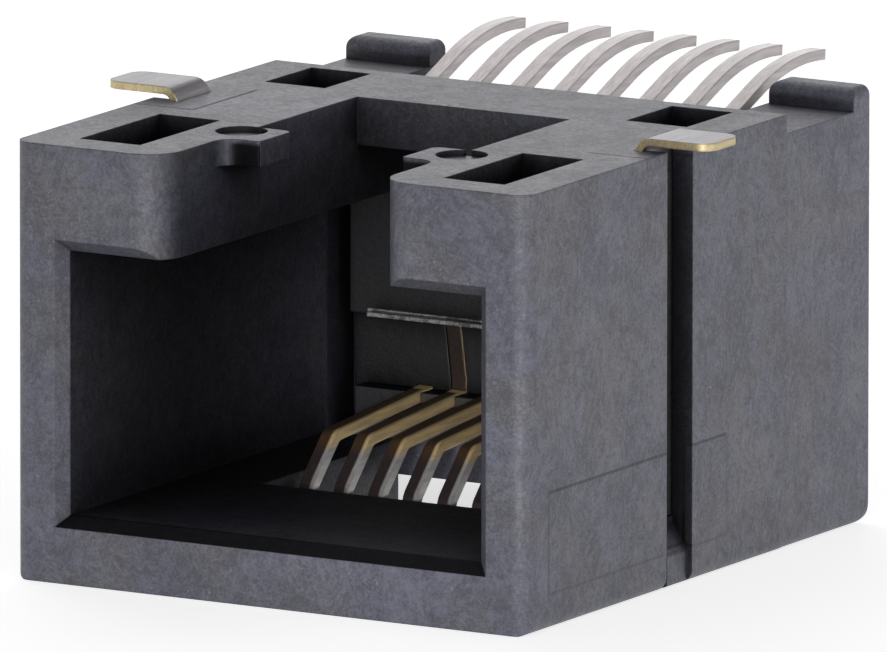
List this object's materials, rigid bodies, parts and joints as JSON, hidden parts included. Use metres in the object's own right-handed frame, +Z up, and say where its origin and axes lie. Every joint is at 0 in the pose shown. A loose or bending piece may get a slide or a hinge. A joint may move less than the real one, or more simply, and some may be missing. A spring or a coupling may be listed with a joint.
{
  "type": "modular board jack",
  "caption": "Surface-mount modular jack with a keyed plug port, spring contacts, curved solder leads and side solder tabs, lying with its board side up.",
  "frame": {"origin": "middle of the footprint at the level of the flat floor", "axes": "+X across the port, +Y from the mating face towards the solder leads, +Z up towards the board side"},
  "size_m": [0.0178, 0.0202, 0.0116],
  "materials": {
    "housing_plastic": "dull moulded glass-filled plastic with faint flow marks",
    "carrier_plastic": "dull moulded glass-filled plastic with faint flow marks",
    "tab_metal": "matte tin plating with bare brass-coloured cut edges",
    "contact_metal": "gold plating on the spring legs and matte tin plating on the leads"
  },
  "bodies": {
    "root": {"housing": "housing_plastic", "contact_carrier": "carrier_plastic", "solder_tab_left": "tab_metal", "solder_tab_right": "tab_metal", "contact_1": "contact_metal", "contact_2": "contact_metal", "contact_3": "contact_metal", "contact_4": "contact_metal", "contact_5": "contact_metal", "contact_6": "contact_metal", "contact_7": "contact_metal", "contact_8": "contact_metal"}
  },
  "joints": []
}
